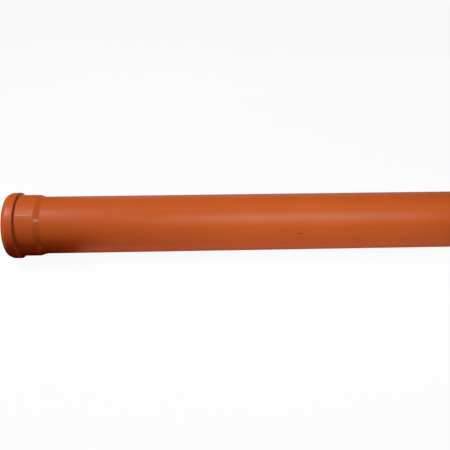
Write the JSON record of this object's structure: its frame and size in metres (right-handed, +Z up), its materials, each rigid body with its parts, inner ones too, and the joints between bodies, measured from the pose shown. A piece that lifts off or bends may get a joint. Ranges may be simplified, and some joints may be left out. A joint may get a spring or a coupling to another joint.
{
  "type": "pvc sewer pipe",
  "caption": "Orange-brown PVC sewer pipe, lying, with a push-fit socket and sealing ring at one end and a chamfered plain end",
  "frame": {"origin": "on the floor under the middle of the pipe's length", "axes": "+X along the pipe from the socket to the plain end, +Z up"},
  "size_m": [1.07, 0.1264, 0.1267],
  "materials": {
    "pipe": "satin",
    "sealing_ring": "matte"
  },
  "bodies": {
    "root": {"pipe": "pipe", "sealing_ring": "sealing_ring"}
  },
  "joints": []
}
